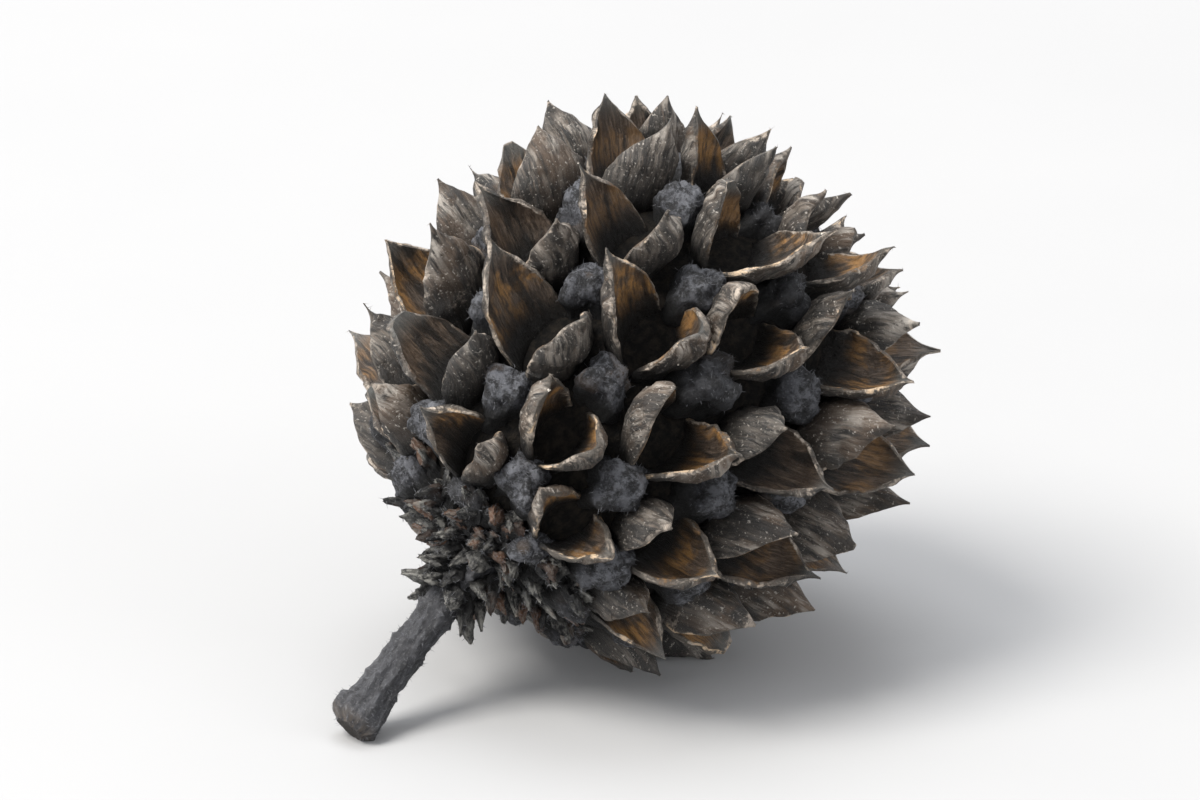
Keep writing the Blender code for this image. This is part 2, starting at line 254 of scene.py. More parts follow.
# Star at the apex
STAR_POINTS = 8
STAR_RADIUS = 1.15 * MM
STAR_SLOPE = math.radians(52)
STAR_SIZES = (0.85, 1.1)
STAR_MIDDLE_SIZE = 0.7

# Stalk
STALK_LENGTH = 10 * MM
STALK_ROOT_SINK = 1.5 * MM
STALK_RADIUS = 0.9 * MM
STALK_FLARE = 1.3
FLARE_REACH = 0.4
STALK_SLIMMING = 0.06
STALK_BEND = 0.9 * MM
STALK_SIDE_BEND = 0.27 * MM
KNOB_RADIUS = 1.1 * MM
KNOB_PLACE = 0.93
KNOB_REACH = 0.17
STALK_SIDES = 48
STALK_ROWS = 130

# Surface of the stalk: rounded end, ridges, joints with teeth on the ridges, lumps and a shoulder
END_ROUNDING = 0.35
END_ROUNDS_FROM = 0.965
END_FACE = 0.99
RIDGES = 8
RIDGE_HEIGHT = 0.045
RIDGE_SWAY = 0.8
RIDGE_SWAYS = 9
JOINT_PLACES = (0.24, 0.42, 0.6, 0.78)
JOINT_WIDTH = 0.012
JOINT_TOOTH = 0.17
JOINT_WEAR = 0.35
RIDGE_WEAR = 0.3
BARK_FINENESS = (1.5, 0.7)
BARK_LAYERS = ((1, 0.16), (2.3, 0.1), (5, 0.07))
SHOULDER_HEIGHT = 0.24
SHOULDER_SIDE = (-0.7, -0.7)
SHOULDER_SPREAD = (-0.2, 0.9)
SHOULDER_PLACE = (0.885, 0.905)
STALK_OWN = 0.37

# Short hairs on the outer faces, as a share of the fine points, and crumbs caught between the valves
BRACT_HAIR_SHARE = 0.14
BARREN_HAIR_SHARE = 0.12
STALK_HAIR_SHARE = 0.12
VALVE_HAIR_SHARE = 0.05
FELT_HAIRS = (0.10 * MM, 0.28 * MM)
VALVE_HAIRS = (0.10 * MM, 0.30 * MM)
HAIR_RADIUS = 0.014 * MM
HAIR_STRAY = 0.8
HAIR_FROM_HEIGHT = 0.25
OUTER_FACE = 0.4
CRUMBS = 40
CRUMB_RADII = (0.05 * MM, 0.11 * MM)
CRUMB_STRETCH = (0.6, 1.4)
CRUMB_ROLL = 9
CRUMB_ROLL_AXIS = (0.3, 0.5, 0.8)

# Edges that turn more than this look cut, not rounded
SHARP_FROM = math.radians(40)

# Camera at the photograph's angle, from afar with a long lens
VIEW_AZIMUTH = math.radians(38)
VIEW_ELEVATION = math.radians(22)
VIEW_DISTANCE = 0.5
VIEW_TARGET = Vector((0.0, 0.0, 12.5)) * MM
LENS = 330
NEAREST_SEEN = 0.01

# Floor, lights and pale room
FLOOR_SIDE = 3.0
LIGHT_DISTANCE = 1.1
ROOM_COLOUR = (0.97, 0.975, 1.0, 1)
ROOM_STRENGTH = 1.1

# Colours that the two faces of a valve share; the darkest serves for dark grain and for painted shade
# towards the roots
TAUPE = (0.150, 0.109, 0.079)
VALVE_GRAIN_AND_PAINTED_SHADE = (0.0035, 0.0028, 0.002)

# Felt of the knobs and the small bracts: its dark, pale and stained colours, and how rare stains are
KNOB_FELT = ((0.055, 0.057, 0.066), (0.195, 0.200, 0.217), (0.055, 0.042, 0.034), 0.60)
SMALL_BRACT_FELT = ((0.122, 0.121, 0.113), (0.43, 0.415, 0.375), (0.150, 0.075, 0.043), 0.53)

# Hairs: colours of their roots and their tips
GREY_HAIR = ((0.05, 0.05, 0.055), (0.42, 0.43, 0.46))
BROWN_HAIR = ((0.06, 0.05, 0.042), (0.40, 0.36, 0.31))


def core_point(angle):
    """(radius, height) of the core's outline at an angle from the apex."""
    across = abs(math.sin(angle)) / CORE_RADIUS
    along = abs(math.cos(angle)) / CORE_HALF_LENGTH
    reach = (across**CORE_SQUARENESS + along**CORE_SQUARENESS) ** (-1 / CORE_SQUARENESS)
    return reach * math.sin(angle), reach * math.cos(angle)


def core_slope(angle):
    """How far the outline's outward direction rises towards the apex, in radians."""
    radius, height = core_point(angle)
    power = CORE_SQUARENESS - 1
    out = (radius / CORE_RADIUS) ** power / CORE_RADIUS
    up = math.copysign((abs(height) / CORE_HALF_LENGTH) ** power, height) / CORE_HALF_LENGTH
    return math.atan2(up, out)


def moved_along(angle, distance):
    """The outline angle that lies this far along the outline towards the stalk."""
    steps = 12
    nudge = 0.01
    for _ in range(steps):
        stretch = Vector(core_point(angle + nudge)) - Vector(core_point(angle))
        angle += nudge * distance / steps / stretch.length
    return angle


def angle_at_radius(radius, from_apex):
    """The outline angle where the core is this thick, near the apex or near the stalk."""
    angle = 0.0
    step = 0.005
    while core_point(angle)[0] < radius:
        angle += step
    return angle if from_apex else math.pi - angle


def surface_frame(place, turn, slope):
    """Axes at a (radius, height): X across, Y towards the apex, Z outwards at the given slope."""
    radius, height = place
    out = sideways(turn)
    across = Vector((-math.sin(turn), math.cos(turn), 0))
    outward = out * math.cos(slope) + Vector((0, 0, math.sin(slope)))
    upward = outward.cross(across)
    seat = Matrix((across, upward, outward)).transposed().to_4x4()
    seat.translation = out * radius + Vector((0, 0, height))
    return seat


def valve_slope(angle):
    """Valves follow the surface on the apex half and stand squarer to the axis near the stalk."""
    slope = core_slope(angle)
    return slope * (APEX_SIDE_FOLLOW if slope > 0 else STALK_SIDE_FOLLOW) + VALVE_LEAN


def fruit_places():
    """(angle, turn, size) of each fruit, whorl by whorl from the apex to the stalk."""
    angle = angle_at_radius(FIRST_WHORL_RADIUS, from_apex=True)
    places = []
    whorl = 0
    while angle < math.pi / 2 or core_point(angle)[0] > LAST_WHORL_RADIUS:
        taper = APEX_TAPER if angle < math.pi / 2 else STALK_TAPER
        size = (core_point(angle)[0] / CORE_RADIUS) ** taper
        for number in range(FRUITS_PER_WHORL):
            turn = 2 * math.pi * (number + 0.5 * (whorl % 2)) / FRUITS_PER_WHORL
            places.append((angle, turn, size))
        angle = moved_along(angle, WHORL_STEP * size**CROWDING)
        whorl += 1
    return places


def smooth(value, low, high):
    """0 below low, 1 above high, and an even curve between."""
    share = min(max((value - low) / (high - low), 0.0), 1.0)
    return share * share * (3 - 2 * share)


def layered_noise(place, layers, base=0.0):
    """Sum of noises at a place, each given by its fineness and its height, on top of a base."""
    return sum((height * noise.noise(place * fineness) for fineness, height in layers), base)


def own_grain(own):
    """Shift of a bract's grain by its own number."""
    return Vector((own * BRACT_GRAIN_APART, 0, 0))


def turns(count):
    """Evenly spread angles round an axis."""
    return [2 * math.pi * number / count for number in range(count)]


def sideways(turn):
    """Level direction at an angle round the axis."""
    return Vector((math.cos(turn), math.sin(turn), 0))


def new_object(name, data):
    """New object in the scene."""
    item = bpy.data.objects.new(name, data)
    bpy.context.scene.collection.objects.link(item)
    return item


class Skin:
    """Points and faces under construction, with what the materials need to know at each point.

    Grain is a place on the piece in millimetres: across, along, and a number of the piece's own.
    The facts are 1 on an inner face, 1 on a worn edge, the share of the way up, and the piece's
    own random number from 0 to 1.
    """

    facts = ("inner", "edge", "height", "own")

    def __init__(self):
        self.points = []
        self.faces = []
        self.grain = []
        self.known = {name: [] for name in self.facts}

    def add(self, point, grain, **known):
        """Takes a point of the cone's frame, lays it down and keeps it on or above the surface."""
        laid = LAID @ point
        laid.z = max(laid.z, 0.0)
        self.points.append(laid)
        self.grain.append(grain)
        for name in self.facts:
            self.known[name].append(known.get(name, 0.0))
        return len(self.points) - 1

    def join(self, loop, following):
        """Faces between two closed loops of as many points each."""
        count = len(loop)
        for number in range(count):
            after = (number + 1) % count
            self.faces.append((loop[number], loop[after], following[after], following[number]))

    def join_all(self, loops, turned=False):
        """Faces between each loop and the next, facing the other way where turned."""
        for low, high in zip(loops, loops[1:]):
            self.join(*((high, low) if turned else (low, high)))

    def close(self, loop, point, turned=False):
        """Fan of faces from a loop to a point."""
        count = len(loop)
        for number in range(count):
            pair = (loop[number], loop[(number + 1) % count])
            self.faces.append((*(reversed(pair) if turned else pair), point))

    def piece(self, name, material):
        """The finished object, riding on the body and standing for the solid cone."""
        mesh = bpy.data.meshes.new(name)
        mesh.from_pydata(self.points, [], self.faces)
        mesh.update()
        grain = mesh.attributes.new("grain", "FLOAT_VECTOR", "POINT")
        grain.data.foreach_set("vector", [value for place in self.grain for value in place])
        for fact, values in self.known.items():
            mesh.attributes.new(fact, "FLOAT", "POINT").data.foreach_set("value", values)
        mesh.shade_smooth()
        mesh.set_sharp_from_angle(angle=SHARP_FROM)
        mesh.materials.append(material)
        item = new_object(name, mesh)
        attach(item, "root")
        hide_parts("cone")
        return item


class Valve:
    """One fine valve on the +X side of its slit, drawn like the solid one."""

    def __init__(self, size, gape, tip_turn, detail):
        self.size = size
        self.gape = gape
        self.tip_turn = tip_turn
        self.own = detail.random()
        self.curl = detail.uniform(*TIP_CURL) * size
        self.folds = (detail.uniform(*LIP_FOLD) * size, detail.uniform(*LIP_FOLD) * size)
        self.ragged = detail.uniform(*RAGGEDNESS)
        self.sharpness = detail.uniform(*TIP_SHARPNESS)
        self.reach = detail.uniform(*TIP_REACH) * size
        self.end = detail.uniform(*BROKEN_AT) if detail.random() < BROKEN_SHARE else 1.0

    def height(self, share):
        length = VALVE_LENGTH * self.size + VALVE_ROOT_SINK
        return length * share - VALVE_ROOT_SINK + self.reach * max(share, 0.0) ** 3

    def half_width(self, share):
        narrowing = VALVE_NARROWING + self.sharpness * smooth(share, *SHARPENING_RISE)
        wave = math.pi * (VALVE_ROOT_FULLNESS + (1 - VALVE_ROOT_FULLNESS) * share)
        fullness = math.sin(wave) ** narrowing if share < 1 else 0.0
        return VALVE_WIDTH / 2 * self.size * fullness

    def wander(self, share, side, fineness):
        """Noise of the valve's own, with this many waves in a millimetre across and along."""
        across = side * self.half_width(share) / MM * fineness[0]
        along = self.height(share) / MM * fineness[1]
        return noise.noise((across, along, self.own * VALVE_NOISE_APART))

    def inside(self, share, side):
        """Place on the hollow inner face."""
        height = self.height(share)
        half_width = self.half_width(share)
        fullness = half_width / (VALVE_WIDTH / 2)
        hollow = VALVE_HOLLOW * fullness * (1 - side * side)
        opening = math.tan(self.gape) * max(height, 0) + VALVE_FLARE * self.gape * height * share
        late = smooth(share, TIP_START, 1.0)
        out = smooth(share, *LIP_RISE)
        lip = self.folds[side > 0] * side**LIP_NARROWNESS * out * fullness
        wave = RIM_WAVE * side * side * out * self.wander(share, math.copysign(1, side), WAVE_FINENESS)
        width = half_width * (1 + self.ragged * self.wander(share, side, RAGGED_FINENESS))
        away = VALVE_ROOT_GAP + hollow + opening + lip + wave + self.curl * late**2
        return Vector((away, side * width + self.tip_turn * late, height))

    def outward(self, share, side):
        """Direction from the inner face to the outer face, read short of the tip, where the sides meet."""
        share = min(share, LAST_FACING)
        nudge = 0.01
        along = self.inside(share + nudge, side) - self.inside(share, side)
        across = self.inside(share, side + nudge) - self.inside(share, side - nudge)
        return across.cross(along).normalized()

    def thickness(self, share, side):
        """Thin and uneven at the rims and the tip, fleshy towards the root, with a low keel."""
        fleshy = (1 - abs(side) ** FLESH_ACROSS) * (1 - max(share, 0.0) ** FLESH_ALONG)
        uneven = 1 + RIM_UNEVENNESS * self.wander(share, math.copysign(1, side), RIM_FINENESS)
        rim = RIM_THICKNESS * uneven * (1 - TIP_THINNING * smooth(share, *THINNING_RISE))
        keel = KEEL * math.exp(-((side / KEEL_SPREAD) ** 2)) * smooth(share, *KEEL_RISE)
        return rim + (VALVE_THICKNESS - RIM_THICKNESS) * fleshy + keel * fleshy

    def outside(self, share, side):
        """Place on the rounded outer face, with its fibres standing out a little."""
        fibre = self.wander(share, side, FIBRE_FINENESS)
        thread = self.wander(share, side, THREAD_FINENESS)
        reach = self.thickness(share, side) * (1 + FIBRE_RELIEF * (fibre + THREAD_SHARE * thread))
        return self.inside(share, side) + self.outward(share, side) * reach

    def rim(self, share, edge):
        """Place on the rounded rim, half way through the thickness."""
        inner = self.inside(share, edge)
        within = 0.9 * edge
        beside = (inner - self.inside(share, within)).normalized()
        thickness = self.thickness(share, edge)
        return inner + self.outward(share, edge) * thickness / 2 + beside * thickness * RIM_ROUNDING


def grow_valve(skin, valve, seat):
    """Adds one valve as a row of closed loops from its root to its tip."""
    tip_height = valve.height(valve.end)

    def add(place, share, side, inner):
        half_width = valve.half_width(share)
        height = valve.height(share)
        to_rim = min((1 - abs(side)) * half_width, TIP_NEARNESS * (tip_height - height))
        apart = valve.own * VALVE_GRAIN_APART + inner * INNER_GRAIN_APART
        grain = (side * half_width / MM, height / MM, apart)
        known = {"inner": inner, "edge": math.exp(-to_rim / RIM_GLOW), "own": valve.own}
        return skin.add(seat @ place, grain, height=height / tip_height, **known)

    middle = VALVE_COLUMNS // 2
    sides = [math.sin(math.pi / 2 * column / middle) for column in range(-middle, middle + 1)]
    loops = []
    for row in range(VALVE_ROWS):
        share = valve.end * (1 - (1 - row / VALVE_ROWS) ** ROW_CROWDING)
        loop = [add(valve.inside(share, side), share, side, 1.0) for side in sides]
        loop.append(add(valve.rim(share, 1.0), share, 1.0, 0.5))
        loop += [add(valve.outside(share, side), share, side, 0.0) for side in reversed(sides)]
        loop.append(add(valve.rim(share, -1.0), share, -1.0, 0.5))
        loops.append(loop)
    skin.join_all(loops)
    tip = valve.inside(valve.end, 0.0) + valve.outward(valve.end, 0.0) * RIM_THICKNESS / 2
    skin.close(loops[-1], add(tip, valve.end, 0.0, 0.5))


def grow_valves(skins, draw, detail):
    """Both valves of every fruit. The apex half goes in the first skin and the rest in the second."""
    places = fruit_places()
    for number, (angle, turn, size) in enumerate(places):
        skin = skins[0] if number < len(places) / 2 else skins[1]
        slope = valve_slope(angle) + draw.uniform(-LEAN_SPREAD, LEAN_SPREAD)
        turn += draw.uniform(-PLACE_SPREAD, PLACE_SPREAD)
        seat = surface_frame(core_point(angle), turn, slope)
        twist = Matrix.Rotation(draw.uniform(-TWIST_SPREAD, TWIST_SPREAD), 4, "Z")
        for half in (0, 1):
            grown = size * draw.uniform(*VALVE_SIZES)
            gape = VALVE_GAPE + draw.uniform(-GAPE_SPREAD, GAPE_SPREAD)
            tip_turn = draw.uniform(-TIP_SPREAD, TIP_SPREAD) * size
            valve = Valve(grown, gape, tip_turn, detail)
            facing = Matrix.Rotation(math.pi * half, 4, "Z")
            stray = Matrix.Rotation(detail.uniform(-1, 1) * VALVE_STRAY, 4, "X")
            grow_valve(skin, valve, seat @ twist @ facing @ stray)


def bract_top(size):
    """Height of a bract above the core."""
    return (BRACT_HEIGHT + BRACT_POINT) * size


def bract_outline(share, size):
    """(radius, height, how near the top) of a bract at a share of the way up its side."""
    top = bract_top(size)
    bottom = -BRACT_HEIGHT * size
    belly = BRACT_BELLY * top
    if share < BRACT_SIDE_ROWS:
        return BRACT_RADIUS * size, bottom + (belly - bottom) * share / BRACT_SIDE_ROWS, 0.0
    bend = (share - BRACT_SIDE_ROWS) / (1 - BRACT_SIDE_ROWS) * math.pi / 2
    fullness = BRACT_TOP_RADIUS + (1 - BRACT_TOP_RADIUS) * math.cos(bend) ** BRACT_BLUNTNESS
    radius = BRACT_RADIUS * size * fullness
    return radius, belly + (top - belly) * math.sin(bend), math.sin(bend)


def grow_bract(skin, size, seat, own):
    """Lumpy felted knob with blunt corners, that ends in a small spike bent towards the apex."""
    top = bract_top(size)
    loops = []
    for row in range(BRACT_ROWS):
        radius, height, edge = bract_outline(row / (BRACT_ROWS - 1), size)
        loop = []
        for turn in turns(BRACT_SIDES):
            out = sideways(turn)
            bare = out * radius + Vector((0, 0, height))
            # Lumps stand out sideways at the side and upwards at the top
            away = (out * (1.05 - edge) + Vector((0, 0, edge))).normalized()
            corner = bract_corner(turn, own) * (1 - edge**3)
            point = bare + away * BRACT_RADIUS * size * (corner + bract_lump(bare / MM, own))
            grain = point / MM + own_grain(own)
            bared = CORNER_WEAR * max(corner, 0.0) * smooth(height / top, *CORNER_WEAR_RISE)
            worn = min(1.0, edge**2 + bared)
            loop.append(skin.add(seat @ point, grain, edge=worn, height=height / top, own=own))
        loops.append(loop)
    skin.join_all(loops)
    laid_crown = sum((skin.points[number] for number in loops[-1]), Vector()) / BRACT_SIDES
    crown = UPRIGHT @ laid_crown
    grain = own_grain(own) + Vector((0, 0, top / MM))
    skin.close(loops[-1], skin.add(crown, grain, edge=1.0, height=1.0, own=own))
    grow_bract_spike(skin, size, seat, own)


def grow_bract_spike(skin, size, seat, own):
    """Small spike on top of a bract, that leans towards the apex and its own way to one side."""
    top = bract_top(size)
    aside, forward, up = SPIKE_LEAN
    lean = Vector((aside * math.sin(own * SPIKE_STRAYING), forward, up)).normalized()
    start = seat @ Vector((0, SPIKE_PLACE[0] * BRACT_RADIUS * size, SPIKE_PLACE[1] * top))
    length = SPIKE_LENGTH * size
    grow_spike(skin, start, seat.to_3x3() @ lean, length, SPIKE_RADIUS * size, own, SPIKE_SIDES)


def bract_corner(turn, own):
    """How far the blunt corners of a bract stand out, as a share of its radius."""
    return sum(reach * math.cos(count * turn + own * roll) for count, roll, reach in BRACT_CORNERS)


def bract_lump(place, own):
    """How far its lumps stand out at a place in millimetres, as a share of its radius."""
    shift = Vector([own * apart for apart in BRACT_NOISE_APART])
    return layered_noise(place + shift, BRACT_LUMPS)


def grow_spike(skin, root, direction, length, radius, own, sides=3):
    """Thin spike that tapers to a point, given in the cone's frame."""
    across = direction.orthogonal().normalized()
    beside = direction.cross(across)
    apart = own * BRACT_GRAIN_APART
    known = {"edge": SPIKE_ROOT_WEAR, "height": SPIKE_ROOT_HEIGHT, "own": own}
    loop = []
    for turn in turns(sides):
        place = root + (across * math.cos(turn) + beside * math.sin(turn)) * radius
        loop.append(skin.add(place, (turn * radius / MM, 0, apart), **known))
    tip = skin.add(root + direction * length, (0, length / MM, apart), edge=1.0, height=1.0, own=own)
    skin.close(loop, tip)


def grow_bracts(skin, draw, detail):
    """A blunt knob on the stalk side of every fruit."""
    for angle, turn, size in fruit_places():
        place = moved_along(angle, BRACT_OFFSET * size)
        slope = valve_slope(place) + BRACT_LEAN
        grown = size * draw.uniform(*BRACT_SIZES)
        turn += draw.uniform(-PLACE_SPREAD, PLACE_SPREAD)
        grow_bract(skin, grown, surface_frame(core_point(place), turn, slope), detail.random())


def grow_pointed_bract(skin, size, seat, own):
    """Flattened ragged scale, pointed or blunt, that bends up or down, with its root sunk."""
    length = BARREN_LENGTH * size
    bend = BARREN_BEND * (own - BARREN_UNBENT) * size
    loops = []
    for row in range(BARREN_ROWS):
        share = row / BARREN_ROWS
        height = -BARREN_SINK + (length + BARREN_SINK) * share
        radius = pointed_bract_radius(share, size, own)
        loop = []
        for turn in turns(BARREN_SIDES):
            across, thick, stray = ragged_side(radius, turn, height, share, own)
            point = Vector((across, thick + bend * share * share, height + stray))
            known = {"edge": smooth(share, *BARREN_WEAR_RISE), "height": height / length, "own": own}
            loop.append(skin.add(seat @ point, point / MM + own_grain(own), **known))
        loops.append(loop)
    skin.join_all(loops)
    tip = seat @ Vector((0, bend, BARREN_TIP_PLACE * length))
    grain = own_grain(own) + Vector((0, 0, length / MM))
    skin.close(loops[-1], skin.add(tip, grain, edge=1.0, height=1.0, own=own))


def pointed_bract_radius(share, size, own):
    """Half width along a pointed bract, that narrows early or late as its own number says."""
    least, more = BARREN_BLUNTNESS
    bluntness = least + more * (own * 7 % 1)
    stunting = min(1.0, 1 - BARREN_STUNTING + BARREN_STUNTING * size)
    return BARREN_WIDTH / 2 * (1 - share**bluntness) ** BARREN_TAPER * stunting


def ragged_side(radius, turn, height, share, own):
    """(across, thick, stray up) at the ragged side of a pointed bract, flat with a low keel."""
    around, along = BARREN_FINENESS
    apart = own * BARREN_NOISE_APART
    place = Vector((math.cos(turn) * around, math.sin(turn) * around, height / MM * along + apart))
    rough = layered_noise(place, BARREN_LAYERS, 1)
    keel = BARREN_KEEL * max(math.sin(turn), 0) ** 4
    flatness = rough * (BARREN_THICKNESS - BARREN_THINNING * share) + keel
    stray = BARREN_TATTERS * share * noise.noise(place * TATTER_FINENESS)
    return radius * rough * math.cos(turn), radius * flatness * math.sin(turn), stray


def grow_filling_bracts(skin, detail):
    """Stunted scales that crowd the gaps between the barren bracts and the first fruits."""
    for _ in range(FILLING_BRACTS):
        reach = FILLING_REACH * math.sqrt(detail.uniform(FILLING_INNERMOST, 1.0))
        place = core_point(angle_at_radius(reach, from_apex=False))
        slope = BARREN_FIRST_SLOPE * (1 - reach / FILLING_REACH)
        slope += detail.uniform(-1, 1) * FILLING_SPREAD
        seat = surface_frame(place, detail.uniform(0, 2 * math.pi), slope)
        seat = seat @ Matrix.Rotation(detail.uniform(-1, 1), 4, "Z")
        size = detail.uniform(*FILLING_SIZES) * (1 + FILLING_GROWTH * (reach / FILLING_REACH) ** 2)
        grow_pointed_bract(skin, size, seat, detail.random())


def grow_bract_ring(skin, draw, detail, place, count, slope, offset):
    """Evenly spread pointed bracts round the axis at a (radius, height), each a little astray."""
    for number in range(count):
        turn = number + offset + draw.uniform(-BARREN_SPREAD, BARREN_SPREAD)
        leaning = slope + draw.uniform(-BARREN_SPREAD, BARREN_SPREAD)
        seat = surface_frame(place, 2 * math.pi * turn / count, leaning)
        grow_pointed_bract(skin, draw.uniform(*BARREN_SIZES), seat, detail.random())


def grow_barren_bracts(skin, draw, detail):
    """Crowded rings from the stalk out to the first fruits, and then down the root of the stalk."""
    for ring in range(BARREN_RINGS):
        radius = BARREN_FIRST_RADIUS + BARREN_RING_STEP * ring
        place = core_point(angle_at_radius(radius, from_apex=False))
        count = round(2 * math.pi * radius / BARREN_SPACING)
        slope = BARREN_FIRST_SLOPE + BARREN_SLOPE_STEP * ring
        grow_bract_ring(skin, draw, detail, place, count, slope, 0.5 * (ring % 2))
    for ring in range(NECK_RINGS):
        share = (STALK_ROOT_SINK + NECK_START + NECK_STEP * ring) / (STALK_ROOT_SINK + STALK_LENGTH)
        place = (stalk_radius(share), stalk_middle(share).z)
        grow_bract_ring(skin, draw, detail, place, NECK_BRACTS, NECK_SLOPE, 0.5 * (ring % 2))
    grow_filling_bracts(skin, detail)


def grow_apex_star(skin, draw, detail):
    """Small bracts that radiate from a middle point at the apex."""
    place = core_point(angle_at_radius(STAR_RADIUS, from_apex=True))
    for number in range(STAR_POINTS):
        turn = 2 * math.pi * (number + draw.uniform(-BARREN_SPREAD, BARREN_SPREAD)) / STAR_POINTS
        seat = surface_frame(place, turn, STAR_SLOPE)
        grow_pointed_bract(skin, draw.uniform(*STAR_SIZES), seat, detail.random())
    middle = surface_frame(core_point(0.0), 0.0, math.pi / 2)
    grow_pointed_bract(skin, STAR_MIDDLE_SIZE, middle, detail.random())


def grow_core(skin):
    """Uneven turned body in the dark behind the valves."""
    top = skin.add(Vector((0, 0, CORE_HALF_LENGTH)), (0, 0, 0))
    bottom = skin.add(Vector((0, 0, -CORE_HALF_LENGTH)), (0, 0, 0))
    loops = []
    for ring in range(1, CORE_RINGS):
        radius, height = core_point(math.pi * ring / CORE_RINGS)
        loop = []
        for turn in turns(CORE_SIDES):
            point = Vector((radius * math.cos(turn), radius * math.sin(turn), height))
            bump = CORE_ROUGHNESS * noise.noise(point / MM * CORE_FINENESS)
            grain = (turn * CORE_RADIUS / MM, height / MM, 0)
            loop.append(skin.add(point * (1 + bump / point.length), grain))
        loops.append(loop)
    skin.join_all(loops, turned=True)
    skin.close(loops[0], top)
    skin.close(loops[-1], bottom, turned=True)


def stalk_radius(share):
    """Half thickness along the stalk: flared at the cone, slimmer midway, swollen at its end."""
    flare = STALK_FLARE * max(0.0, 1 - share / FLARE_REACH) ** 2
    slimming = STALK_SLIMMING * math.sin(math.pi * share)
    away = abs(share - KNOB_PLACE) / KNOB_REACH
    swelling = (KNOB_RADIUS - STALK_RADIUS) * smooth(1 - away, 0.0, 1.0)
    return STALK_RADIUS * (1 + flare - slimming) + swelling


def stalk_middle(share):
    """Middle line of the stalk, from inside the core down, with a slight bend to one side."""
    root = CORE_HALF_LENGTH - STALK_ROOT_SINK
    length = STALK_LENGTH + STALK_ROOT_SINK
    bend = share * share
    return Vector((STALK_BEND * bend, STALK_SIDE_BEND * bend, -root - length * share))


def grow_stalk(skin):
    """Ridged stalk with faint joints, a shoulder at its swollen end and an uneven broken face."""
    apart = STALK_OWN * BRACT_GRAIN_APART
    loops = []
    for row in range(STALK_ROWS):
        share = row / (STALK_ROWS - 1)
        middle = stalk_middle(share)
        radius = stalk_radius(share) * (1 - END_ROUNDING * smooth(share, END_ROUNDS_FROM, 1.0))
        joint = stalk_joint(share)
        loop = []
        for turn in turns(STALK_SIDES):
            ridge = math.cos(RIDGES * turn + RIDGE_SWAY * math.sin(RIDGE_SWAYS * share))
            reach = radius * bark_reach(share, turn, ridge, joint)
            grain = (turn * STALK_RADIUS / MM, middle.z / MM, apart)
            worn = JOINT_WEAR * joint + RIDGE_WEAR * max(ridge, 0)
            point = middle + sideways(turn) * reach
            loop.append(skin.add(point, grain, height=share, own=STALK_OWN, edge=worn))
        loops.append(loop)
    skin.join_all(loops, turned=True)
    end = skin.add(stalk_middle(END_FACE), (0, 0, apart), height=1.0, own=STALK_OWN)
    skin.close(loops[-1], end, turned=True)


def stalk_joint(share):
    """1 at the joints of the stalk and 0 between them."""
    return sum(math.exp(-(((share - place) / JOINT_WIDTH) ** 2)) for place in JOINT_PLACES)


def bark_reach(share, turn, ridge, joint):
    """Reach of the bark there, as a multiple of the stalk's radius."""
    out = sideways(turn)
    around, along = BARK_FINENESS
    place = out * around + Vector((0, 0, stalk_middle(share).z / MM * along))
    lump = layered_noise(place, BARK_LAYERS)
    facing = out.x * SHOULDER_SIDE[0] + out.y * SHOULDER_SIDE[1]
    shoulder = SHOULDER_HEIGHT * smooth(facing, *SHOULDER_SPREAD) * smooth(share, *SHOULDER_PLACE)
    tooth = JOINT_TOOTH * joint * (0.5 + 0.5 * math.cos(RIDGES * turn))
    return 1 + RIDGE_HEIGHT * ridge + lump + tooth + shoulder


def grow_fuzz(skin, piece, detail, share, lengths):
    """Hairs on this share of a piece's outer points, each leaning its own way."""
    inner = piece.data.attributes["inner"].data
    height = piece.data.attributes["height"].data
    for vertex in piece.data.vertices:
        chosen = detail.random() < share
        hidden = inner[vertex.index].value > OUTER_FACE or height[vertex.index].value < HAIR_FROM_HEIGHT
        if not chosen or hidden:
            continue
        stray = Vector([detail.uniform(-1, 1) for _ in range(3)])
        direction = (UPRIGHT.to_3x3() @ (vertex.normal + HAIR_STRAY * stray)).normalized()
        length = detail.uniform(*lengths)
        grow_spike(skin, UPRIGHT @ vertex.co, direction, length, HAIR_RADIUS, detail.random())


def grow_crumbs(skin, piece, detail):
    """Tiny uneven eight-sided crumbs caught on a piece's points."""
    corners = ((1, 0, 0), (0, 1, 0), (-1, 0, 0), (0, -1, 0))
    for _ in range(CRUMBS):
        vertex = piece.data.vertices[detail.randrange(len(piece.data.vertices))]
        middle = UPRIGHT @ (vertex.co + vertex.normal * CRUMB_RADII[0])
        radius = detail.uniform(*CRUMB_RADII)
        own = detail.random()
        turned = Matrix.Rotation(own * CRUMB_ROLL, 3, CRUMB_ROLL_AXIS)
        reach = [radius * detail.uniform(*CRUMB_STRETCH) for _ in range(6)]
        apart = own * CRUMB_GRAIN_APART
        loop = [
            skin.add(middle + turned @ Vector(corner) * reach[number], (*corner[:2], apart), own=own)
            for number, corner in enumerate(corners)
        ]
        top = skin.add(middle + turned @ Vector((0, 0, reach[4])), (0, 0, apart), own=own)
        bottom = skin.add(middle - turned @ Vector((0, 0, reach[5])), (0, 0, apart), own=own)
        skin.close(loop, top)
        skin.close(loop, bottom, turned=True)


